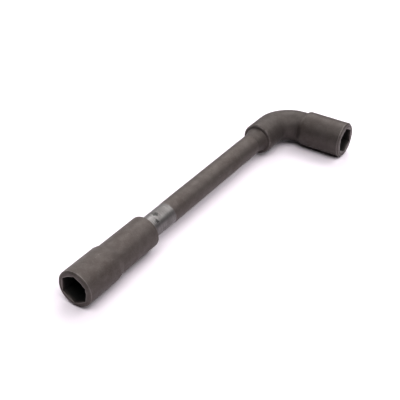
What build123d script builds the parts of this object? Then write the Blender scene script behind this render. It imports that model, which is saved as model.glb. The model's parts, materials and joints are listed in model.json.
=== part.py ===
"""L-shaped lug wrench, in millimetres.

A round bar carries a stepped socket on its front end and a thicker bent arm on its rear
end. The arm ends in a second socket for the same nut. The four pieces join by turned
tenons in bores and are brazed, so nothing on the wrench moves.

Frame: the origin is the centre of the front socket's mouth. +Y runs along the long leg to
the bend, +X runs along the short leg to its mouth, and +Z is up, square to both legs.
"""

import os

from build123d import *

# ---- Driving dimensions ----------------------------------------------------------------

# Hexagons. Both mouths take the same nut.
nut_across_flats = 19.0
nut_clearance = 0.3  # across the flats
hex_corner_radius = 0.7
hex_depth = 18.0
mouth_lead_in = 0.6  # bevel that guides the nut in, on the radius
front_hex_turn = 27.6  # degrees about the long leg
short_hex_turn = 32.0  # degrees about the short leg

# Round stud holes behind the hexagons.
stud_hole_diameter = 15.0
front_stud_hole_length = 16.0
short_stud_hole_length = 9.0

# Socket heads. The short leg's head has a thicker wall.
head_diameter = 28.0
short_head_diameter = 30.2
mouth_edge_chamfer = 1.3
cone_edge_fillet = 1.6

# Front socket: head, cone, and a sleeve over the bar.
front_head_length = 32.8
front_cone_length = 5.4
sleeve_diameter = 25.4
front_socket_length = 79.4
sleeve_edge_fillet = 1.0

# Bar: a plain length behind a bare turned land, which also fills the sleeve's bore.
bar_diameter = 17.8
land_cut = 0.15  # how far the land is turned under the bar, on the radius
bare_land_length = 27.4
tenon_chamfer = 1.0
joint_clearance = 0.05  # on the radius of every tenon

# Bent arm: a flared neck on the bar, a rounded shoulder, and the bend.
leg_crossing = 284.8  # from the front mouth to where the two legs' axes cross
bend_radius = 21.8
arm_diameter = 26.6
neck_length = 11.6
shoulder_radius = 1.8
arm_rear_straight = 18.6  # from the shoulder to the bend
arm_front_straight = 0.8  # from the bend to the seam with the short socket
bar_tenon_diameter = 11.0
bar_tenon_length = 20.0
tenon_end_gap = 0.5

# Short socket: a cone up from the seam, then the head.
short_socket_length = 40.7
short_cone_length = 4.6
arm_tenon_diameter = 17.0
arm_tenon_length = 9.0
seam_chamfer = 0.4

# ---- Sizes worked out from them --------------------------------------------------------

hex_across_flats = nut_across_flats + nut_clearance
head_radius = head_diameter / 2
short_head_radius = short_head_diameter / 2
sleeve_radius = sleeve_diameter / 2
bar_radius = bar_diameter / 2
land_radius = bar_radius - land_cut
arm_radius = arm_diameter / 2
bar_tenon_radius = bar_tenon_diameter / 2
arm_tenon_radius = arm_tenon_diameter / 2

# Along the long leg, from the front mouth.
bar_front = hex_depth + front_stud_hole_length
land_end = front_socket_length + bare_land_length
bend_start = leg_crossing - bend_radius
neck_end = bend_start - arm_rear_straight - shoulder_radius
neck_start = neck_end - neck_length
bar_tenon_end = neck_start + bar_tenon_length
shoulder_start_radius = arm_radius - shoulder_radius
# Along the short leg, from the long leg's axis.
short_socket_rear = bend_radius + arm_front_straight
short_mouth = short_socket_rear + short_socket_length

# Mouth planes face out of the sockets, with their own Y towards +Z.
front_mouth_plane = Plane(origin=(0, 0, 0), x_dir=(1, 0, 0), z_dir=(0, -1, 0))
short_mouth_plane = Plane(
    origin=(short_mouth, leg_crossing, 0), x_dir=(0, 1, 0), z_dir=(1, 0, 0)
)
# Half profiles are drawn flat, with the leg's axis as one side.
long_leg_axis = Axis((0, 0, 0), (0, 1, 0))
short_leg_axis = Axis((0, leg_crossing, 0), (1, 0, 0))


def cut_mouth(mouth_plane: Plane, hex_turn: float, stud_hole_length: float) -> None:
    """Cut a hexagon, its lead-in and the stud hole behind it into the open part."""
    with BuildSketch(mouth_plane) as hexagon:
        RegularPolygon(hex_across_flats / 2, 6, major_radius=False, rotation=hex_turn)
        fillet(hexagon.vertices(), hex_corner_radius)
    extrude(hexagon.sketch, amount=-hex_depth, mode=Mode.SUBTRACT)
    with BuildSketch(mouth_plane) as lead_in:
        Circle(hex_across_flats / 2 + mouth_lead_in)
    extrude(lead_in.sketch, amount=-mouth_lead_in, taper=45, mode=Mode.SUBTRACT)
    with BuildSketch(mouth_plane.offset(-hex_depth)) as stud_hole:
        Circle(stud_hole_diameter / 2)
    extrude(stud_hole.sketch, amount=-stud_hole_length, mode=Mode.SUBTRACT)


# ---- Front socket ----------------------------------------------------------------------

with BuildPart() as front_socket:
    with BuildSketch(Plane.XY) as front_profile:
        with BuildLine():
            Polyline(
                (0, 0),
                (head_radius - mouth_edge_chamfer, 0),
                (head_radius, mouth_edge_chamfer),
                (head_radius, front_head_length),
                (sleeve_radius, front_head_length + front_cone_length),
                (sleeve_radius, front_socket_length),
                (0, front_socket_length),
                close=True,
            )
        make_face()
        cone_corners = front_profile.vertices().filter_by_position(
            Axis.Y, front_head_length, front_head_length + front_cone_length
        )
        fillet(cone_corners, cone_edge_fillet)
        rim_corner = front_profile.vertices().group_by(Axis.Y)[-1].sort_by(Axis.X)[-1]
        fillet(rim_corner, sleeve_edge_fillet)
    revolve(axis=long_leg_axis)
    cut_mouth(front_mouth_plane, front_hex_turn, front_stud_hole_length)
    # Bore for the bar, from the rear face to the seat at the end of the stud hole.
    with BuildSketch(front_mouth_plane.offset(-front_socket_length)):
        Circle(land_radius + joint_clearance)
    extrude(amount=front_socket_length - bar_front, mode=Mode.SUBTRACT)

# ---- Bar -------------------------------------------------------------------------------

with BuildPart() as bar:
    with BuildSketch(Plane.XY):
        with BuildLine():
            Polyline(
                (0, bar_front),
                (land_radius - tenon_chamfer, bar_front),
                (land_radius, bar_front + tenon_chamfer),
                (land_radius, land_end),
                (bar_radius, land_end),
                (bar_radius, neck_start),
                (bar_tenon_radius, neck_start),
                (bar_tenon_radius, bar_tenon_end - tenon_chamfer),
                (bar_tenon_radius - tenon_chamfer, bar_tenon_end),
                (0, bar_tenon_end),
                close=True,
            )
        make_face()
    revolve(axis=long_leg_axis)

# ---- Bent arm --------------------------------------------------------------------------

with BuildPart() as bent_arm:
    # Neck and shoulder: the flare is a quarter ellipse and the shoulder a quarter circle.
    with BuildSketch(Plane.XY):
        with BuildLine():
            Line((0, neck_start), (bar_radius, neck_start))
            EllipticalCenterArc(
                (shoulder_start_radius, neck_start),
                shoulder_start_radius - bar_radius,
                neck_length,
                start_angle=90,
                arc_size=90,
            )
            CenterArc(
                (shoulder_start_radius, neck_end + shoulder_radius),
                shoulder_radius,
                start_angle=-90,
                arc_size=90,
            )
            Polyline(
                (arm_radius, neck_end + shoulder_radius),
                (arm_radius, bend_start),
                (0, bend_start),
                (0, neck_start),
            )
        make_face()
    revolve(axis=long_leg_axis)
    # Bend, then the short straight up to the seam.
    with BuildLine() as bend_path:
        bend_line = JernArc((0, bend_start), (0, 1), bend_radius, -90)
        Line(bend_line @ 1, (short_socket_rear, leg_crossing))
    with BuildSketch(Plane(origin=(0, bend_start, 0), x_dir=(1, 0, 0), z_dir=(0, 1, 0))):
        Circle(arm_radius)
    sweep(path=bend_path.line)
    seam_edge = bent_arm.faces().sort_by(Axis.X)[-1].edges()
    chamfer(seam_edge, seam_chamfer)
    # Tenon that enters the short socket.
    with BuildSketch(short_mouth_plane.offset(short_socket_rear - short_mouth)):
        Circle(arm_tenon_radius)
    extrude(amount=arm_tenon_length)
    chamfer(bent_arm.faces().sort_by(Axis.X)[-1].edges(), tenon_chamfer)
    # Bore for the bar's rear tenon.
    with BuildSketch(front_mouth_plane.offset(-neck_start)):
        Circle(bar_tenon_radius + joint_clearance)
    extrude(amount=-bar_tenon_length - tenon_end_gap, mode=Mode.SUBTRACT)

# ---- Short socket ----------------------------------------------------------------------

with BuildPart() as short_socket:
    cone_end = short_socket_rear + short_cone_length
    with BuildSketch(Plane.XY) as short_profile:
        with BuildLine():
            Polyline(
                (short_socket_rear, leg_crossing),
                (short_socket_rear, leg_crossing + arm_radius - seam_chamfer),
                (short_socket_rear + seam_chamfer, leg_crossing + arm_radius),
                (cone_end, leg_crossing + short_head_radius),
                (short_mouth - mouth_edge_chamfer, leg_crossing + short_head_radius),
                (short_mouth, leg_crossing + short_head_radius - mouth_edge_chamfer),
                (short_mouth, leg_crossing),
                close=True,
            )
        make_face()
        fillet(
            short_profile.vertices().filter_by_position(Axis.X, cone_end, cone_end),
            cone_edge_fillet,
        )
    revolve(axis=short_leg_axis)
    cut_mouth(short_mouth_plane, short_hex_turn, short_stud_hole_length)
    # Bore for the arm's tenon.
    with BuildSketch(short_mouth_plane.offset(short_socket_rear - short_mouth)):
        Circle(arm_tenon_radius + joint_clearance)
    extrude(amount=arm_tenon_length + tenon_end_gap, mode=Mode.SUBTRACT)

# ---- Write the pieces ------------------------------------------------------------------

os.makedirs("parts", exist_ok=True)
for name, piece in {
    "front_socket": front_socket,
    "bar": bar,
    "bent_arm": bent_arm,
    "short_socket": short_socket,
}.items():
    piece.part.label = name
    export_step(piece.part, f"parts/{name}.step")
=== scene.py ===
"""Looks of the lug wrench: its four steel pieces as fine surfaces, their finishes and a studio.

Every piece is a profile carried along the wrench's centre line. The line starts at the
front mouth, runs up the long leg, round the bend and out along the short leg. A profile is
a row of stations, each with a place along the line and a radius.
"""

import json
import math

import bpy
import numpy as np
from bpy.props import FloatProperty, FloatVectorProperty, PointerProperty
from mathutils import Matrix, Vector


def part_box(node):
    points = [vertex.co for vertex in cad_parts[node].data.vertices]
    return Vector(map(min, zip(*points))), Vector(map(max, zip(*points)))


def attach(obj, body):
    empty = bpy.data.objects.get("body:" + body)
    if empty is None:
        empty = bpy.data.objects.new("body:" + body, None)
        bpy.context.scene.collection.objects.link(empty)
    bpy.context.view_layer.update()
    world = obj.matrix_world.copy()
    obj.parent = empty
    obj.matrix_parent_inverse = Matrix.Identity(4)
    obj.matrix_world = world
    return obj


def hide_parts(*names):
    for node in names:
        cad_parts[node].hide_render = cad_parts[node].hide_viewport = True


bl_info = {
    "name": "Lug Wrench",
    "version": (1, 0, 0),
    "blender": (4, 5, 0),
    "location": "View3D > Sidebar > Wrench",
    "description": "Makes the surfaces, finishes and studio of an L-shaped lug wrench",
    "category": "Object",
}

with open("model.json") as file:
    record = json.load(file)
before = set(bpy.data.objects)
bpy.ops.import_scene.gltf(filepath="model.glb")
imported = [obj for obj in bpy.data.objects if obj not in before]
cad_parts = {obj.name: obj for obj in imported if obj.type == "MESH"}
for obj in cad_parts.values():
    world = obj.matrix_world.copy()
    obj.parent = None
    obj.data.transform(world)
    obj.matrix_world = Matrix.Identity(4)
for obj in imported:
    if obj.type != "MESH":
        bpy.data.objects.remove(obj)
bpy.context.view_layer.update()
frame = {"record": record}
MM = 0.001

# ---- Sizes read from the frame, in metres ----------------------------------------------

_, FRONT_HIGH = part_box("front_socket")
BAR_LOW, BAR_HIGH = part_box("bar")
ARM_LOW, ARM_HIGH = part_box("bent_arm")
SHORT_LOW, SHORT_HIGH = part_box("short_socket")
MOUNTS = {mount["name"]: mount for mount in frame["record"]["mounts"]}

HEAD_RADIUS = FRONT_HIGH.z
SHORT_HEAD_RADIUS = SHORT_HIGH.z
BAR_RADIUS = BAR_HIGH.z
ARM_RADIUS = ARM_HIGH.z
STUD_HOLE_RADIUS = MOUNTS["front_stud_hole"]["dims"]["r_mm"] * MM
FRONT_STUD_HOLE_LENGTH = MOUNTS["front_stud_hole"]["dims"]["length_mm"] * MM
SHORT_STUD_HOLE_LENGTH = MOUNTS["short_stud_hole"]["dims"]["length_mm"] * MM
LEG_CROSSING = (SHORT_LOW.y + SHORT_HIGH.y) / 2


# ---- Sizes and colours that a user would change ----------------------------------------


def length(name, description, default):
    """A size in metres, shown in the scene's units."""
    return FloatProperty(
        name=name, description=description, default=default, subtype="DISTANCE", unit="LENGTH"
    )


def share(name, description, default):
    """A number from 0 to 1."""
    return FloatProperty(
        name=name, description=description, default=default, min=0, max=1, subtype="FACTOR"
    )


def colour(name, description, default):
    """A linear colour."""
    return FloatVectorProperty(
        name=name, description=description, default=default, size=3, min=0, max=1, subtype="COLOR"
    )


class WrenchSizes(bpy.types.PropertyGroup):
    """Sizes of the pieces that their boxes don't give."""

    across_flats: length("Across flats", "Width of both hexagons", 19.3 * MM)
    hexagon_corner: length("Hexagon corner", "Radius in each corner of the hexagons", 0.7 * MM)
    hexagon_depth: length("Hexagon depth", "How far the nut goes in", 18.0 * MM)
    lead_in: length("Lead-in", "Bevel that guides the nut in", 0.6 * MM)
    front_turn: FloatProperty(
        name="Front hexagon turn",
        description="From the short leg's side up to a corner of the front hexagon",
        default=math.radians(27.6),
        subtype="ANGLE",
    )
    short_turn: FloatProperty(
        name="Short hexagon turn",
        description="From the long leg's side up to a corner of the short leg's hexagon",
        default=math.radians(148.0),
        subtype="ANGLE",
    )
    mouth_bevel: length("Mouth bevel", "Bevel round each mouth's outer edge", 1.3 * MM)
    front_head: length("Front head", "Length of the head before its cone", 32.8 * MM)
    front_cone: length("Front cone", "Length of the cone behind the front head", 5.4 * MM)
    sleeve_radius: length("Sleeve radius", "Outside of the sleeve over the bar", 12.7 * MM)
    sleeve_edge: length("Sleeve edge", "Rounding of the sleeve's rear edge", 1.0 * MM)
    land_cut: length("Land cut", "How far the bare land lies under the bar", 0.15 * MM)
    land_length: length("Land length", "Bare land behind the sleeve", 27.4 * MM)
    fit_gap: length("Fit gap", "Gap round each tenon", 0.05 * MM)
    neck_length: length("Neck length", "Length of the flare onto the arm", 11.2 * MM)
    shoulder: length("Shoulder", "Rounding of the arm's shoulder", 2.4 * MM)
    arm_end_straight: length("Arm end", "Straight from the bend to the seam", 0.8 * MM)
    short_cone: length("Short cone", "Length of the cone behind the short head", 4.6 * MM)
    seam_depth: length("Seam depth", "Bevel between the arm and the short head", 0.15 * MM)
    seam_dip: length("Seam dip", "Dip where the arm meets the short head", 0.38 * MM)
    seam_ridge: length("Seam ridge", "Ridge on the short head beside the dip", 0.18 * MM)
    bar_tenon: length("Bar tenon", "Radius of the bar's rear tenon", 5.5 * MM)
    arm_tenon: length("Arm tenon", "Radius of the arm's tenon", 8.5 * MM)
    tenon_bevel: length("Tenon bevel", "Bevel on each tenon's end", 1.0 * MM)
    tenon_end_gap: length("Tenon end gap", "Room past each blind tenon", 0.5 * MM)


class WrenchFinishes(bpy.types.PropertyGroup):
    """Colours of the steel, its rubbed edges and its painted shade and highlight."""

    coat: colour("Coat", "Dark phosphate coat on the steel", (0.100, 0.084, 0.078))
    coat_thin: colour("Thin coat", "Where the coat is thinner and greyer", (0.122, 0.106, 0.099))
    coat_brown: colour("Brown coat", "Where oil has browned the coat", (0.090, 0.073, 0.066))
    # painted shade inside the sockets and bores; also the colour of the dark scuffs on the land
    cavity_shade_and_scuff: colour("Cavity shade and scuff", "Painted shade inside the sockets, and the dark scuffs", (0.019, 0.018, 0.0172))
    # lighter rubbed steel, also used as painted highlight on the bevels and the shoulder
    worn_and_highlight: colour("Rubbed edge and highlight", "Edges rubbed through to the steel, and painted highlight", (0.19, 0.172, 0.165))
    bare: colour("Bare steel", "The turned land", (0.205, 0.196, 0.193))
    bare_dull: colour("Dull steel", "Stains on the turned land", (0.130, 0.121, 0.118))
    # how much rubbed edge shows, which on the bevels and the shoulder is also painted highlight
    rub_and_highlight: share("Wear", "How much rubbed edge and painted highlight shows", 0.55)
    grain: share("Grain", "Depth of the coat's fine grain", 0.5)


class WrenchStudio(bpy.types.PropertyGroup):
    """The floor, the lights and the camera."""

    floor: colour("Floor", "Pale floor", (0.82, 0.77, 0.815))
    sky: colour("Sky", "Light from all round", (0.95, 0.93, 1.0))
    sky_strength: FloatProperty(
        name="Sky strength", description="Strength of the light from all round", default=0.06
    )
    box_power: FloatProperty(
        name="Box power",
        description="Power of a soft box of strength 1",
        default=20.0,
        unit="POWER",
    )
    box_size: length("Box size", "Side of each soft box", 1.2)
    box_distance: length("Box distance", "From the wrench to each soft box", 2.0)
    camera_azimuth: FloatProperty(
        name="Camera azimuth",
        description="Zero looks along the long leg",
        default=math.radians(32.35),
        subtype="ANGLE",
    )
    camera_elevation: FloatProperty(
        name="Camera elevation",
        description="Above the floor's horizon",
        default=math.radians(33.80),
        subtype="ANGLE",
    )
    camera_roll: FloatProperty(
        name="Camera roll",
        description="Turn about the line of sight",
        default=math.radians(1.20),
        subtype="ANGLE",
    )
    camera_distance: length("Camera distance", "From the point looked at", 0.6494)
    camera_target: FloatVectorProperty(
        name="Camera target",
        description="The point looked at",
        default=(0.01051, 0.13643, 0.0),
        size=3,
        subtype="TRANSLATION",
        unit="LENGTH",
    )
    camera_lens: FloatProperty(
        name="Camera lens", description="Focal length in millimetres", default=76.29
    )


# ---- The centre line -------------------------------------------------------------------


def bend_of(sizes):
    """Radius of the bend, and where it starts and ends along the centre line."""
    radius = SHORT_LOW.x - sizes.arm_end_straight
    start = LEG_CROSSING - radius
    return radius, start, start + radius * math.pi / 2


def along_short_leg(sizes, x):
    """Place along the centre line of the point of the short leg at x."""
    radius, _, end = bend_of(sizes)
    return end + x - radius


def centre_line(sizes, along):
    """Points of the centre line, and the sideways direction there, for places along it.

    The turn grows from zero to a quarter turn as the place goes round the bend. Before
    it the line is the long leg, and after it the line runs on along the short leg. The
    sideways direction is square to the line, towards the inside of the bend.
    """
    radius, start, end = bend_of(sizes)
    turn = np.clip((along - start) / radius, 0, math.pi / 2)
    x = radius * (1 - np.cos(turn)) + np.maximum(along - end, 0)
    y = start + radius * np.sin(turn) + np.minimum(along - start, 0)
    zero = np.zeros_like(x)
    return (
        np.stack([x, y, zero], axis=-1),
        np.stack([np.cos(turn), -np.sin(turn), zero], axis=-1),
    )


# ---- Profiles --------------------------------------------------------------------------

ROUND = -1.0  # hexagon offset of a station that is round
ARC_STEPS = 9
STATION_SPACING = 0.9 * MM
BELL_WIDTH = 0.9 * MM
RING_STEPS = 192
SAME_PLACE = 1e-8  # stations nearer than this are one
RIM_FLAT = 0.9 * MM  # flat ring of each mouth between its lip and its bevel
LIP_RADIUS = 0.18 * MM  # rounding of the lead-in's outer edge
BORE_DARK = 4 * MM  # the front bore's last part, which gets the cavity's painted shade
INSIDE_DEPTH = 3 * MM  # depth in a mouth from which the painted shade is as dark as deep inside
# Columns of a row of stations.
ALONG, RADIUS, HEXAGON, RUB_AND_HIGHLIGHT, INSIDE = range(5)


def round_rows(along, radius):
    """Round stations with no rubbing and no highlight, at these places and radii."""
    rows = np.zeros((len(along), 5))
    rows[:, ALONG] = along
    rows[:, RADIUS] = radius
    rows[:, HEXAGON] = ROUND
    return rows


def stations(corners, inside=0.0):
    """Round stations along a profile given by its corners.

    Each corner is (along, radius, rounding, rubbing and highlight). Its rounding is an arc tangent
    to both sides, worked out as the weighted sum of the two spokes from the arc's centre, with the
    sines of the two part angles as weights. Long stretches get stations at equal spacing.
    The rubbed edge, which on bevels is also painted highlight, falls off from each corner as a
    bell curve.
    """
    corners = np.array(corners, float)
    place, rounding, rub_and_highlight = corners[:, :2], corners[1:-1, 2:3], corners[:, 3]
    back, on = place[:-2] - place[1:-1], place[2:] - place[1:-1]
    back /= np.linalg.norm(back, axis=1, keepdims=True)
    on /= np.linalg.norm(on, axis=1, keepdims=True)
    half = np.arccos(np.clip((back * on).sum(1, keepdims=True), -1, 1)) / 2
    middle = (back + on) / np.linalg.norm(back + on, axis=1, keepdims=True)
    centre = place[1:-1] + middle * rounding / np.sin(half)
    first = place[1:-1] + back * rounding / np.tan(half) - centre
    last = place[1:-1] + on * rounding / np.tan(half) - centre
    sweep = math.pi - 2 * half[:, None]
    part = np.linspace(0, 1, ARC_STEPS)[None, :, None]
    arcs = centre[:, None] + (
        np.sin((1 - part) * sweep) * first[:, None] + np.sin(part * sweep) * last[:, None]
    ) / np.sin(sweep)
    points = np.concatenate([place[:1], arcs.reshape(-1, 2), place[-1:]])
    steps = np.linalg.norm(np.diff(points, axis=0), axis=1)
    points = spaced(points[np.append(True, steps > SAME_PLACE)])
    travel = np.append(0, np.cumsum(np.linalg.norm(np.diff(points, axis=0), axis=1)))
    nearest = np.argmin(np.linalg.norm(points[:, None] - place[None], axis=2), axis=0)
    bells = rub_and_highlight * np.exp(-(((travel[:, None] - travel[nearest]) / BELL_WIDTH) ** 2))
    rows = round_rows(*points.T)
    rows[:, RUB_AND_HIGHLIGHT] = bells.max(axis=1)
    rows[:, INSIDE] = inside
    return rows


def spaced(points):
    """The same line of points with each long stretch cut into equal parts."""
    stretch = np.linalg.norm(np.diff(points, axis=0), axis=1)
    cuts = np.maximum(np.ceil(stretch / STATION_SPACING).astype(int), 1)
    owner = np.repeat(np.arange(len(cuts)), cuts)
    step = np.arange(len(owner)) - np.repeat(np.cumsum(cuts) - cuts, cuts)
    part = (step / cuts[owner])[:, None]
    inner = points[owner] * (1 - part) + points[owner + 1] * part
    return np.concatenate([inner, points[-1:]])


def hexagon_radius(sizes, angle, turn):
    """Distance from the axis to the hexagon's wall at each angle.

    Measured from the middle of a flat, the flat is at the apothem divided by the cosine of
    the angle. Near a corner the wall is the corner's own circle, whose far crossing with
    the ray gives the distance.
    """
    apothem, corner = sizes.across_flats / 2, sizes.hexagon_corner
    sector = math.pi / 3
    from_corner = np.abs((angle - turn + sector / 2) % sector - sector / 2)
    from_flat = sector / 2 - from_corner
    flat = apothem / np.cos(from_flat)
    out = (apothem - corner) / math.cos(sector / 2)
    tangent = math.atan((apothem - corner) * math.tan(sector / 2) / apothem)
    inner = np.maximum(corner**2 - (out * np.sin(from_corner)) ** 2, 0)
    return np.where(from_flat > tangent, out * np.cos(from_corner) + np.sqrt(inner), flat)


def mouth(sizes, hole_length):
    """Stations of a socket's cavity, from the end of the stud hole out to the flat face.

    Depths count inwards from the mouth. The hexagon's offset is zero on its wall and grows
    to the lip's radius at the mouth as a quarter circle, and the lead-in cone meets the
    hexagon where the larger of the two radii is kept.
    """
    depth, bevel = sizes.hexagon_depth, sizes.lead_in
    hole = spaced(np.array([[depth + hole_length, STUD_HOLE_RADIUS], [depth, STUD_HOLE_RADIUS]]))
    wall = spaced(np.array([[depth, 0.0], [bevel, 0.0]]))
    quarter = np.linspace(0, math.pi / 2, ARC_STEPS)
    lip_depth = LIP_RADIUS * (1 - np.sin(quarter))
    cone_depth = np.linspace(bevel, LIP_RADIUS, 4)[1:-1]
    lip_growth = LIP_RADIUS * (1 - np.cos(quarter))
    cone_depth = np.concatenate([cone_depth, lip_depth])
    cone = round_rows(cone_depth, sizes.across_flats / 2 + bevel - cone_depth)
    rows = np.concatenate([round_rows(*hole.T), round_rows(*wall.T), cone])
    rows[len(hole) :, HEXAGON] = 0
    rows[-len(quarter) :, RADIUS] += lip_growth
    rows[-len(quarter) :, HEXAGON] = lip_growth
    rows[:, RUB_AND_HIGHLIGHT] = np.exp(-rows[:, ALONG] / BELL_WIDTH)
    # share of the cavity's painted shade, growing with depth into the mouth
    rows[:, INSIDE] = np.clip(rows[:, ALONG] / INSIDE_DEPTH, 0, 1)
    return rows


# ---- Surfaces --------------------------------------------------------------------------

HEXAGON_FINE = math.radians(3.5)  # finer ring steps this near a hexagon's corner
CORNER_STEPS = 13
FLAT_STEPS = 22
LUMP_WAVES = 28


def even_ring():
    """Angles of a ring with equal steps."""
    return np.linspace(0, 2 * math.pi, RING_STEPS, endpoint=False)


def hexagon_ring(turn):
    """Angles of a ring with fine steps at the corners of a hexagon and coarse ones between."""
    sector = math.pi / 3
    fine = np.linspace(-HEXAGON_FINE, HEXAGON_FINE, CORNER_STEPS)
    coarse = np.linspace(HEXAGON_FINE, sector - HEXAGON_FINE, FLAT_STEPS)[1:-1]
    return (turn + np.arange(6)[:, None] * sector + np.append(fine, coarse)).ravel()


def lumps(points, size, seed):
    """Gentle unevenness from -1 to 1.

    It is the mean of sine waves that run in many directions, 0.7 to 2.2 sizes long, times
    the root of their number, which keeps its spread the same for any number of waves.
    """
    rng = np.random.default_rng(seed)
    way = rng.normal(size=(LUMP_WAVES, 3))
    way /= np.linalg.norm(way, axis=1, keepdims=True)
    way *= 2 * math.pi / (size * rng.uniform(0.7, 2.2, (LUMP_WAVES, 1)))
    waves = np.sin(points @ way.T + rng.uniform(0, 2 * math.pi, LUMP_WAVES))
    return np.clip(waves.mean(-1) * math.sqrt(LUMP_WAVES) * 0.7, -1, 1)


def carried(sizes, rows, angles, dents, hexagon=0.0):
    """Points of a profile carried along the centre line, as a grid of stations by angles.

    The distance from the line is the station's radius, or the hexagon's plus its offset
    where that is larger, less the dents. The point lies that far out along the cosine
    of the angle sideways plus the sine of the angle upwards.
    """
    place, sideways = centre_line(sizes, rows[:, ALONG])
    out = np.maximum(rows[:, RADIUS, None], hexagon + rows[:, HEXAGON, None])
    spoke = np.cos(angles)[None, :, None] * sideways[:, None]
    spoke = spoke + np.sin(angles)[None, :, None] * np.array([0, 0, 1.0])
    points = place[:, None] + out[..., None] * spoke
    return points - dents(rows, angles, points)[..., None] * spoke


def surface(name, points, rows, closed):
    """A mesh object over a grid of points, closed round each ring.

    A closed profile joins its last station to its first. An open one starts and ends on
    the axis, so each end ring is one point, and the ring beside it is joined to that point
    by a fan. The faces are turned over if the volume that they hold, which is the sum of
    the boxes spanned by each face and the origin, is below zero.
    """
    ring = points.shape[1]
    if closed:
        flat, values = points.reshape(-1, 3), np.repeat(rows, ring, axis=0)
        index = np.arange(len(flat)).reshape(-1, ring)
        body, fans = np.concatenate([index, index[:1]]), []
    else:
        flat = np.concatenate([points[1:-1].reshape(-1, 3), points[[0, -1], 0]])
        values = np.concatenate([np.repeat(rows[1:-1], ring, axis=0), rows[[0, -1]]])
        body = np.arange(len(flat) - 2).reshape(-1, ring)
        fans = [(body[0], len(flat) - 2), (body[-1][::-1], len(flat) - 1)]
    after = np.roll(body, -1, axis=1)
    quads = np.stack([body[:-1], after[:-1], after[1:], body[1:]], axis=-1).reshape(-1, 4)
    faces = quads.tolist()
    for edge, pole in fans:
        faces += np.stack([np.roll(edge, -1), edge, np.full(ring, pole)], axis=-1).tolist()
    a, b, c, d = (flat[quads[:, corner]] for corner in range(4))
    if (a * (np.cross(b, c) + np.cross(c, d))).sum() < 0:
        faces = [face[::-1] for face in faces]
    mesh = bpy.data.meshes.new(name)
    mesh.from_pydata(flat.tolist(), [], faces)
    for column, label in ((ALONG, "along"), (RUB_AND_HIGHLIGHT, "rub_and_highlight"), (INSIDE, "inside")):
        attribute = mesh.attributes.new(label, "FLOAT", "POINT")
        attribute.data.foreach_set("value", values[:, column].astype(np.float32))
    mesh.shade_smooth()
    made = bpy.data.objects.new(name, mesh)
    bpy.context.scene.collection.objects.link(made)
    return made


def finish_piece(piece, node, material):
    """Puts a finished surface in its CAD node's place."""
    piece.data.materials.append(material)
    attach(piece, "root")
    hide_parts(node)


# ---- The four pieces -------------------------------------------------------------------


def front_socket_rows(sizes):
    """Stations of the front socket: outside, bore, stud hole and hexagon, in one loop."""
    end = FRONT_HIGH.y
    seat = sizes.hexagon_depth + FRONT_STUD_HOLE_LENGTH
    bore = BAR_RADIUS - sizes.land_cut + sizes.fit_gap
    bore_part = seat + BORE_DARK
    outside = stations(
        [
            (0, HEAD_RADIUS - sizes.mouth_bevel - RIM_FLAT, 0, 0),
            # the bevel's rubbed steel is also a painted highlight
            (0, HEAD_RADIUS - sizes.mouth_bevel, 0.25 * MM, 0.4),
            (sizes.mouth_bevel, HEAD_RADIUS, 0.45 * MM, 0.9),
            (sizes.front_head, HEAD_RADIUS, 2.4 * MM, 0.25),
            (sizes.front_head + sizes.front_cone, sizes.sleeve_radius, 3.0 * MM, 0),
            (end, sizes.sleeve_radius, sizes.sleeve_edge, 0.6),
            (end, bore, 0.12 * MM, 0.4),
            (bore_part, bore, 0, 0),
        ]
    )
    # the bore's last part gets the cavity's full painted shade
    bore_end = stations(
        [(bore_part, bore, 0, 0), (seat, bore, 0.1 * MM, 0), (seat, STUD_HOLE_RADIUS, 0, 0)],
        inside=1.0,
    )
    return np.concatenate([outside, bore_end[1:], mouth(sizes, FRONT_STUD_HOLE_LENGTH)])


def bar_rows(sizes):
    """Stations of the bar: front end, bare land, plain length and rear tenon."""
    land = BAR_RADIUS - sizes.land_cut
    land_end = FRONT_HIGH.y + sizes.land_length
    return stations(
        [
            (BAR_LOW.y, 0, 0, 0),
            (BAR_LOW.y, land - sizes.tenon_bevel, 0.2 * MM, 0),
            (BAR_LOW.y + sizes.tenon_bevel, land, 0.2 * MM, 0),
            (land_end, land, 0.05 * MM, 0),
            (land_end + 0.25 * MM, BAR_RADIUS, 0.1 * MM, 0.8),
            (ARM_LOW.y, BAR_RADIUS, 0.1 * MM, 0),
            (ARM_LOW.y, sizes.bar_tenon, 0.2 * MM, 0),
            (BAR_HIGH.y - sizes.tenon_bevel, sizes.bar_tenon, 0.2 * MM, 0),
            (BAR_HIGH.y, sizes.bar_tenon - sizes.tenon_bevel, 0.2 * MM, 0),
            (BAR_HIGH.y, 0, 0, 0),
        ]
    )


def neck_rows(sizes):
    """Stations of the neck: a quarter ellipse out from the bar, then a quarter circle."""
    part = np.linspace(0, math.pi / 2, 4 * ARC_STEPS)
    start = ARM_LOW.y
    rise = ARM_RADIUS - sizes.shoulder - BAR_RADIUS
    flare = round_rows(
        start + sizes.neck_length * np.sin(part), BAR_RADIUS + rise * (1 - np.cos(part))
    )
    shoulder = round_rows(
        start + sizes.neck_length + sizes.shoulder * (1 - np.cos(part)),
        ARM_RADIUS - sizes.shoulder * (1 - np.sin(part)),
    )
    # painted highlight: lighter rubbed steel along the middle of the shoulder's rounding, where
    # light catches it
    shoulder[:, RUB_AND_HIGHLIGHT] = 0.8 * np.sin(2 * part) ** 2
    return np.concatenate([flare, shoulder[1:]])


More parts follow.
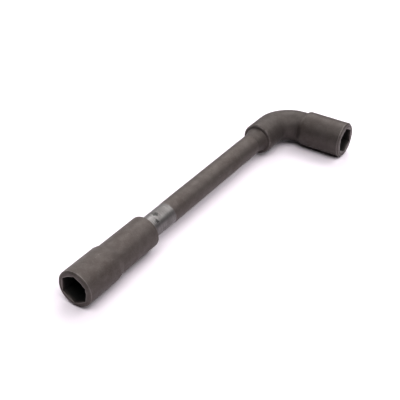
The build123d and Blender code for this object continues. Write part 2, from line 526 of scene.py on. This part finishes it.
def bent_arm_rows(sizes):
    """Stations of the arm: its bore, neck, shoulder, bend, seam bevel and tenon."""
    start = ARM_LOW.y
    bore = sizes.bar_tenon + sizes.fit_gap
    bore_end = BAR_HIGH.y + sizes.tenon_end_gap
    seam = along_short_leg(sizes, SHORT_LOW.x)
    tenon_end = along_short_leg(sizes, ARM_HIGH.x)
    # the bore gets the cavity's full painted shade
    inner = stations(
        [
            (bore_end, 0, 0, 0),
            (bore_end, bore, 0.1 * MM, 0),
            (start, bore, 0.1 * MM, 0),
            (start, BAR_RADIUS, 0, 0),
        ],
        inside=1.0,
    )
    neck = neck_rows(sizes)
    outer = stations(
        [
            (neck[-1, ALONG], ARM_RADIUS, 0, 0),
            (seam - sizes.seam_depth, ARM_RADIUS, 0.5 * MM, 0.3),
            (seam, ARM_RADIUS - sizes.seam_depth, 0.1 * MM, 0),
            (seam, sizes.arm_tenon, 0.1 * MM, 0),
            (tenon_end - sizes.tenon_bevel, sizes.arm_tenon, 0.2 * MM, 0),
            (tenon_end, sizes.arm_tenon - sizes.tenon_bevel, 0.2 * MM, 0),
            (tenon_end, 0, 0, 0),
        ]
    )
    return np.concatenate([inner, neck[1:], outer[1:]])


def short_socket_rows(sizes):
    """Stations of the short leg's socket: cavity, face, head, cone, seam and rear bore."""
    end = along_short_leg(sizes, SHORT_HIGH.x)
    seam = along_short_leg(sizes, SHORT_LOW.x)
    bore = sizes.arm_tenon + sizes.fit_gap
    bore_end = along_short_leg(sizes, ARM_HIGH.x) + sizes.tenon_end_gap
    cavity = mouth(sizes, SHORT_STUD_HOLE_LENGTH)
    cavity[:, ALONG] = end - cavity[:, ALONG]
    floor = cavity[:1].copy()
    floor[:, RADIUS] = 0
    cone_end = seam + sizes.short_cone
    outside = stations(
        [
            (end, SHORT_HEAD_RADIUS - sizes.mouth_bevel - RIM_FLAT, 0, 0),
            # the bevel's rubbed steel is also a painted highlight
            (end, SHORT_HEAD_RADIUS - sizes.mouth_bevel, 0.25 * MM, 1.1),
            (end - sizes.mouth_bevel, SHORT_HEAD_RADIUS, 0.45 * MM, 1.1),
            (cone_end, SHORT_HEAD_RADIUS, 2.4 * MM, 0.2),
            (seam + sizes.seam_depth, ARM_RADIUS, 0.4 * MM, 0.3),
            (seam, ARM_RADIUS - sizes.seam_depth, 0.1 * MM, 0),
            (seam, bore, 0.1 * MM, 0),
            (bore_end, bore, 0.1 * MM, 0),
            (bore_end, 0, 0, 0),
        ]
    )
    return np.concatenate([floor, cavity, outside])


# ---- Unevenness of the skin ------------------------------------------------------------

SEAM_SIDE = math.radians(110)  # angle round the short leg, where the seam shows most
# Places past the seam along the short leg, and widths.
DIP_PLACE = 1.1 * MM
DIP_WIDTH = 1.1 * MM
RIDGE_PLACE = 3.5 * MM
RIDGE_WIDTH = 1.0 * MM


def skin_dents(depth, size, seed):
    """Dents of a forged or turned skin: half a depth less the lumps, on outside stations."""

    def dents(rows, angles, points):
        outer = (rows[:, HEXAGON] == ROUND) & (rows[:, INSIDE] == 0)
        outer &= rows[:, RADIUS] > BAR_RADIUS - MM
        return outer[:, None] * depth * (0.5 - 0.5 * lumps(points, size, seed))

    return dents


def seam_dents(sizes, depth, size, seed):
    """Dents of the skin, with the dip and ridge of the seam on the short leg.

    The dip is a bell curve along the leg, centred just past the seam, and the ridge a narrower
    one beside it on the short head. Their strength is a cosine of the angle from the seam's
    side, so they are deepest there, and lumps break them up.
    """
    skin = skin_dents(depth, size, seed)
    seam = along_short_leg(sizes, SHORT_LOW.x)

    def dents(rows, angles, points):
        outer = (rows[:, INSIDE] == 0) & (rows[:, RADIUS] > ARM_RADIUS - MM)
        past = rows[:, ALONG, None] - seam
        strength = 0.42 + 0.58 * np.cos(angles - SEAM_SIDE)[None]
        strength = np.clip(strength + 0.35 * lumps(points, 6 * MM, 21), 0.05, 1)
        dip = sizes.seam_dip * np.exp(-(((past - DIP_PLACE) / DIP_WIDTH) ** 2))
        ridge = sizes.seam_ridge * np.exp(-(((past - RIDGE_PLACE) / RIDGE_WIDTH) ** 2))
        return skin(rows, angles, points) + outer[:, None] * (dip - ridge) * strength

    return dents


# ---- Shader maths ----------------------------------------------------------------------

RELIEF = 0.06 * MM  # depth of the coat's grain and of the lathe rings


class Wire:
    """A number from a node's socket, which can be used in a formula."""

    def __init__(self, finish, socket):
        self.finish = finish
        self.socket = socket

    def combine(self, operation, first, second):
        return self.finish.node(
            "ShaderNodeMath", {"operation": operation}, {0: first, 1: second}
        )

    def __add__(self, other):
        return self.combine("ADD", self, other)

    def __radd__(self, other):
        return self.combine("ADD", other, self)

    def __sub__(self, other):
        return self.combine("SUBTRACT", self, other)

    def __rsub__(self, other):
        return self.combine("SUBTRACT", other, self)

    def __mul__(self, other):
        return self.combine("MULTIPLY", self, other)

    def __rmul__(self, other):
        return self.combine("MULTIPLY", other, self)

    def larger(self, other):
        return self.combine("MAXIMUM", self, other)


class Finish:
    """A material under construction."""

    def __init__(self, name):
        self.material = bpy.data.materials.new(name)
        self.material.use_nodes = True
        self.tree = self.material.node_tree
        self.tree.nodes.clear()
        self.place = self.node("ShaderNodeTexCoord", output="Object")

    def node(self, kind, settings=None, inputs=None, output=0):
        """Adds a node: its settings first, then the values or wires of its sockets."""
        made = self.tree.nodes.new(kind)
        for name, value in (settings or {}).items():
            setattr(made, name, value)
        for key, value in (inputs or {}).items():
            if isinstance(value, Wire):
                self.tree.links.new(value.socket, made.inputs[key])
            else:
                made.inputs[key].default_value = value
        return Wire(self, made.outputs[output]) if made.outputs else None

    def painted(self, label):
        """The number that the surface carries under this label."""
        return self.node("ShaderNodeAttribute", {"attribute_name": label}, output="Fac")

    def cloud(self, size, detail=3.0, stretch=None, turn=(0, 0, 0), roughness=0.55):
        """Noise from 0 to 1 with lumps of about this size in metres."""
        place = self.place
        if stretch:
            place = self.node(
                "ShaderNodeMapping", None, {"Vector": place, "Rotation": turn, "Scale": stretch}
            )
        inputs = {"Vector": place, "Scale": 1 / size, "Detail": detail, "Roughness": roughness}
        return self.node("ShaderNodeTexNoise", None, inputs)

    def rings(self, along, size, detail=2.0):
        """Noise along the piece only, which makes rings as a lathe tool does."""
        inputs = {"W": along, "Scale": 1 / size, "Detail": detail, "Roughness": 0.6}
        return self.node("ShaderNodeTexNoise", {"noise_dimensions": "1D"}, inputs)

    def between(self, value, low, high):
        """0 below low, 1 above high and a smooth step between."""
        inputs = {"Value": value, "From Min": low, "From Max": high}
        return self.node("ShaderNodeMapRange", {"interpolation_type": "SMOOTHSTEP"}, inputs)

    def mix(self, part, first, second):
        """The first colour where part is 0 and the second where it is 1."""
        inputs = {0: part, 6: opaque(first), 7: opaque(second)}
        return self.node("ShaderNodeMix", {"data_type": "RGBA"}, inputs, output=2)

    def steel(self, colour, roughness, metallic, height):
        """Ends the material as steel with this colour, gloss and relief."""
        bump = self.node(
            "ShaderNodeBump", None, {"Height": height, "Distance": RELIEF, "Strength": 1.0}
        )
        shader = self.node(
            "ShaderNodeBsdfPrincipled",
            None,
            {"Base Color": colour, "Roughness": roughness, "Metallic": metallic, "Normal": bump},
        )
        self.node("ShaderNodeOutputMaterial", None, {"Surface": shader})
        return self.material


def opaque(value):
    """A colour with full alpha, or the wire it already is."""
    return value if isinstance(value, Wire) else (*value, 1.0)


def coat(finish, colours, uneven, turn):
    """The dark phosphate coat: colour, roughness, metallic and height.

    Three sizes of cloud make it mottled, browned and speckled. Rubbed edges go through to
    the steel where the rubbing and a fine cloud together are high, and on the mouth bevels
    and the shoulder this lighter steel is also painted highlight. Inside the sockets it is
    darkened as painted shade. The turn of the broadest cloud differs from piece to piece.
    """
    rub_and_highlight, inside = finish.painted("rub_and_highlight"), finish.painted("inside")
    broad = finish.cloud(26 * MM, 2.0, (1, 1, 1), (turn, 0.3, 0.9))
    mottle = finish.cloud(5.5 * MM, 4.0)
    speckle = finish.cloud(1.1 * MM, 3.0)
    grain = finish.cloud(0.45 * MM, 2.0)
    thin = finish.between(0.45 * mottle + 0.3 * speckle + 0.25 * grain, 0.40, 0.62)
    tone = finish.mix(finish.between(broad, 0.35, 0.7), colours.coat, colours.coat_brown)
    tone = finish.mix(thin * 0.7, tone, colours.coat_thin)
    scratch = finish.cloud(1.6 * MM, 2.0, (1.0, 0.09, 1.0), (0.15, 0.2, 0.35), 0.7)
    scratches = finish.between(scratch * speckle, 0.40, 0.47) * 0.4
    # rubbed steel on worn edges, also laid on as painted highlight on the bevels and the shoulder
    broken_rub_and_highlight = rub_and_highlight * (0.55 + mottle * 0.9 + speckle * 0.5)
    rubbed = finish.between(broken_rub_and_highlight, 0.75, 1.25 - 0.3 * colours.rub_and_highlight) * colours.rub_and_highlight * 1.4
    shown = rubbed.larger(scratches)
    tone = finish.mix(shown, tone, colours.worn_and_highlight)
    # painted shade: darkens the coat inside the sockets and bores
    tone = finish.mix(inside, tone, colours.cavity_shade_and_scuff)
    roughness = 0.56 - thin * 0.08 - shown * 0.14 + speckle * 0.10 - inside * 0.10
    metallic = 0.55 + shown * 0.3 - inside * 0.4
    height = grain * 0.35 * colours.grain * 2 + speckle * 0.35 + mottle * uneven
    return tone, roughness, metallic, height


def coated_steel(name, colours, uneven, lathe, turn, darker_tone_and_shade=0.0):
    """A coated piece, given a darker tone that is partly painted shade for the bend's dark
    underside. Lathe marks under the coat are rings along the piece.
    """
    finish = Finish(name)
    tone, roughness, metallic, height = coat(finish, colours, uneven, turn)
    # partly painted shade: the whole piece is darkened towards the cavity's shade colour
    if darker_tone_and_shade:
        tone = finish.mix(darker_tone_and_shade, tone, colours.cavity_shade_and_scuff)
    if lathe:
        height = height + finish.rings(finish.painted("along"), 0.55 * MM) * lathe
    return finish.steel(tone, roughness, metallic, height)


# Scuffs on the land: distance from the sleeve, angle round the bar, and size.
SCUFFS = (
    (12.3 * MM, math.radians(87), 2.2 * MM),
    (7.8 * MM, math.radians(53), 1.7 * MM),
)


def scuff(finish, along, angle, width):
    """1 at a dark rub on the bar and 0 away from it, with an edge broken by fine cloud."""
    centre = (BAR_RADIUS * math.cos(angle), along, BAR_RADIUS * math.sin(angle))
    reach = finish.node(
        "ShaderNodeVectorMath",
        {"operation": "DISTANCE"},
        {0: finish.place, 1: centre},
        output="Value",
    )
    broken = reach + (finish.cloud(1.3 * MM, 3.0) - 0.5) * 2.4 * width
    return 1 - finish.between(broken, 0.5 * width, 1.3 * width)


def bar_steel(name, colours, land_start, land_end):
    """The coated bar with its bare turned land.

    The land's rings come from noise along the bar. Dull stains and two dark scuffs break
    them up, and the coat starts at a crisp, slightly ragged line.
    """
    finish = Finish(name)
    tone, roughness, metallic, height = coat(finish, colours, uneven=0.5, turn=2.1)
    along = finish.painted("along")
    fine, coarse = finish.rings(along, 0.5 * MM, 3.0), finish.rings(along, 1.7 * MM, 2.0)
    stain = finish.cloud(7 * MM, 4.0, (1, 0.6, 1), (0.4, 0.1, 0.7))
    speck = finish.cloud(0.9 * MM, 3.0)
    dull = finish.between(0.5 * stain + 0.2 * speck + 0.3 * coarse, 0.40, 0.62)
    steel = finish.mix(dull * 0.75 + fine * 0.25, colours.bare, colours.bare_dull)
    for from_sleeve, angle, width in SCUFFS:
        dark = scuff(finish, land_start + from_sleeve, angle, width) * 0.75
        steel = finish.mix(dark, steel, colours.cavity_shade_and_scuff)
    ragged = along + (finish.cloud(1.8 * MM, 3.0) - 0.5) * 0.5 * MM
    coated = finish.between(ragged, land_end - 0.1 * MM, land_end + 0.15 * MM)

    def blend(land, over):
        return land * (1 - coated) + over * coated

    return finish.steel(
        finish.mix(coated, steel, tone),
        blend(0.40 + dull * 0.14, roughness),
        blend(0.85 - dull * 0.15, metallic),
        blend(fine * 0.5 + coarse * 0.35 + speck * 0.1, height),
    )


# ---- The studio ------------------------------------------------------------------------

PRINT_GAMMA = 0.82  # deepens the dark tones a little, as a print does
FLOOR_HALF_WIDTH = 3.0
SENSOR_WIDTH = 36.0
# Soft boxes round the wrench: name, azimuth and elevation in degrees, and strength.
SOFT_BOXES = (
    ("left", -102, 20, 0.95),
    ("back_left", -147, 42, 1.05),
    ("back_right", 168, 42, 0.62),
    ("top_right", 123, 57, 0.70),
    ("top_front", 10, 68, 1.15),
    ("right", 78, 45, 0.72),
)


def direction(azimuth, elevation):
    """From the wrench towards a stand: azimuth 0 is on the front mouth's side."""
    flat = math.cos(elevation)
    return Vector((math.sin(azimuth) * flat, -math.cos(azimuth) * flat, math.sin(elevation)))


def make_floor(context, studio):
    """A wide square floor that the wrench lies on.

    The short head is the thicker one, so the floor falls with y by the difference of the two
    head radii over the distance between the front mouth and the short leg.
    """
    half = FLOOR_HALF_WIDTH
    fall = (SHORT_HEAD_RADIUS - HEAD_RADIUS) / LEG_CROSSING
    corners = [(-half, -half), (half, -half), (half, half), (-half, half)]
    points = [(x, y, -HEAD_RADIUS - fall * y) for x, y in corners]
    mesh = bpy.data.meshes.new("floor")
    mesh.from_pydata(points, [], [(0, 1, 2, 3)])
    floor = bpy.data.objects.new("floor", mesh)
    context.scene.collection.objects.link(floor)
    finish = Finish("pale_floor")
    shader = finish.node(
        "ShaderNodeBsdfDiffuse", None, {"Color": opaque(studio.floor), "Roughness": 0.0}
    )
    finish.node("ShaderNodeOutputMaterial", None, {"Surface": shader})
    mesh.materials.append(finish.material)


def make_light(context, studio):
    """Even light from all round, and a ring of soft boxes, strongest on the left."""
    world = bpy.data.worlds.new("sky")
    world.use_nodes = True
    background = world.node_tree.nodes["Background"]
    background.inputs["Color"].default_value = opaque(studio.sky)
    background.inputs["Strength"].default_value = studio.sky_strength
    context.scene.world = world
    for name, azimuth, elevation, strength in SOFT_BOXES:
        lamp = bpy.data.lights.new(name, "AREA")
        lamp.size = studio.box_size
        lamp.energy = studio.box_power * strength
        box = bpy.data.objects.new(name, lamp)
        way = direction(math.radians(azimuth), math.radians(elevation))
        box.location = Vector(studio.camera_target) + way * studio.box_distance
        box.rotation_mode = "QUATERNION"
        box.rotation_quaternion = (-way).to_track_quat("-Z", "Y")
        context.scene.collection.objects.link(box)


def make_camera(context, studio):
    """A camera that looks at the wrench, turned a little about its line of sight."""
    lens = bpy.data.cameras.new("camera")
    lens.lens = studio.camera_lens
    lens.sensor_width = SENSOR_WIDTH
    lens.clip_start, lens.clip_end = 0.01, 20.0
    camera = bpy.data.objects.new("camera", lens)
    back = direction(studio.camera_azimuth, studio.camera_elevation)
    right = Vector((0, 0, 1)).cross(back).normalized()
    up = back.cross(right)
    cosine, sine = math.cos(studio.camera_roll), math.sin(studio.camera_roll)
    turned_right, turned_up = right * cosine + up * sine, up * cosine - right * sine
    turn = Matrix((turned_right, turned_up, back)).transposed().to_4x4()
    place = Vector(studio.camera_target) + back * studio.camera_distance
    camera.matrix_world = Matrix.Translation(place) @ turn
    context.scene.collection.objects.link(camera)
    context.scene.camera = camera


# ---- Operators -------------------------------------------------------------------------


class WRENCH_OT_front_socket(bpy.types.Operator):
    """Makes the front socket, with its hexagon, stud hole and sleeve"""

    bl_idname = "wrench.front_socket"
    bl_label = "Front socket"

    def execute(self, context):
        sizes, colours = context.scene.wrench_sizes, context.scene.wrench_finishes
        rows = front_socket_rows(sizes)
        angles = hexagon_ring(sizes.front_turn)
        hexagon = hexagon_radius(sizes, angles, sizes.front_turn)
        dents = skin_dents(depth=0.03 * MM, size=14 * MM, seed=3)
        points = carried(sizes, rows, angles, dents, hexagon)
        piece = surface("front_socket_steel", points, rows, closed=True)
        material = coated_steel("turned_socket", colours, uneven=0.45, lathe=0.5, turn=0.4)
        finish_piece(piece, "front_socket", material)
        return {"FINISHED"}


class WRENCH_OT_bar(bpy.types.Operator):
    """Makes the bar, with its bare turned land"""

    bl_idname = "wrench.bar"
    bl_label = "Bar"

    def execute(self, context):
        sizes, colours = context.scene.wrench_sizes, context.scene.wrench_finishes
        rows = bar_rows(sizes)
        dents = skin_dents(depth=0.04 * MM, size=22 * MM, seed=5)
        points = carried(sizes, rows, even_ring(), dents)
        piece = surface("bar_steel", points, rows, closed=False)
        land_start = FRONT_HIGH.y
        material = bar_steel("drawn_bar", colours, land_start, land_start + sizes.land_length)
        finish_piece(piece, "bar", material)
        return {"FINISHED"}


class WRENCH_OT_bent_arm(bpy.types.Operator):
    """Makes the bent arm, from its flared neck to the seam"""

    bl_idname = "wrench.bent_arm"
    bl_label = "Bent arm"

    def execute(self, context):
        sizes, colours = context.scene.wrench_sizes, context.scene.wrench_finishes
        rows = bent_arm_rows(sizes)
        dents = seam_dents(sizes, depth=0.22 * MM, size=17 * MM, seed=8)
        points = carried(sizes, rows, even_ring(), dents)
        piece = surface("bent_arm_steel", points, rows, closed=False)
        material = coated_steel(
            "forged_arm", colours, uneven=0.9, lathe=0.0, turn=1.3, darker_tone_and_shade=0.2
        )
        finish_piece(piece, "bent_arm", material)
        return {"FINISHED"}


class WRENCH_OT_short_socket(bpy.types.Operator):
    """Makes the short leg's socket, with its hexagon and stud hole"""

    bl_idname = "wrench.short_socket"
    bl_label = "Short socket"

    def execute(self, context):
        sizes, colours = context.scene.wrench_sizes, context.scene.wrench_finishes
        rows = short_socket_rows(sizes)
        angles = hexagon_ring(sizes.short_turn)
        hexagon = hexagon_radius(sizes, angles, sizes.short_turn)
        dents = seam_dents(sizes, depth=0.08 * MM, size=13 * MM, seed=11)
        points = carried(sizes, rows, angles, dents, hexagon)
        piece = surface("short_socket_steel", points, rows, closed=False)
        material = coated_steel(
            "short_head", colours, uneven=0.6, lathe=0.35, turn=2.7, darker_tone_and_shade=0.12
        )
        finish_piece(piece, "short_socket", material)
        return {"FINISHED"}


class WRENCH_OT_studio(bpy.types.Operator):
    """Makes the pale floor, the soft light and the camera"""

    bl_idname = "wrench.studio"
    bl_label = "Studio"

    def execute(self, context):
        studio = context.scene.wrench_studio
        make_floor(context, studio)
        make_light(context, studio)
        make_camera(context, studio)
        context.scene.view_settings.view_transform = "Standard"
        context.scene.view_settings.gamma = PRINT_GAMMA
        return {"FINISHED"}


class WRENCH_PT_panel(bpy.types.Panel):
    """Lists the pieces, the sizes and the finishes"""

    bl_idname = "WRENCH_PT_panel"
    bl_label = "Lug Wrench"
    bl_space_type = "VIEW_3D"
    bl_region_type = "UI"
    bl_category = "Wrench"

    def draw(self, context):
        layout = self.layout
        for operator in OPERATORS:
            layout.operator(operator.bl_idname)
        for group in (
            context.scene.wrench_sizes,
            context.scene.wrench_finishes,
            context.scene.wrench_studio,
        ):
            box = layout.box()
            for name in group.__annotations__:
                box.prop(group, name)


OPERATORS = (
    WRENCH_OT_front_socket,
    WRENCH_OT_bar,
    WRENCH_OT_bent_arm,
    WRENCH_OT_short_socket,
    WRENCH_OT_studio,
)
CLASSES = (WrenchSizes, WrenchFinishes, WrenchStudio, *OPERATORS, WRENCH_PT_panel)


def register():
    for each in CLASSES:
        bpy.utils.register_class(each)
    bpy.types.Scene.wrench_sizes = PointerProperty(type=WrenchSizes)
    bpy.types.Scene.wrench_finishes = PointerProperty(type=WrenchFinishes)
    bpy.types.Scene.wrench_studio = PointerProperty(type=WrenchStudio)


def unregister():
    del bpy.types.Scene.wrench_studio
    del bpy.types.Scene.wrench_finishes
    del bpy.types.Scene.wrench_sizes
    for each in reversed(CLASSES):
        bpy.utils.unregister_class(each)


def main():
    """Makes everything."""
    register()
    bpy.ops.wrench.front_socket()
    bpy.ops.wrench.bar()
    bpy.ops.wrench.bent_arm()
    bpy.ops.wrench.short_socket()
    bpy.ops.wrench.studio()


if __name__ == "__main__":
    main()
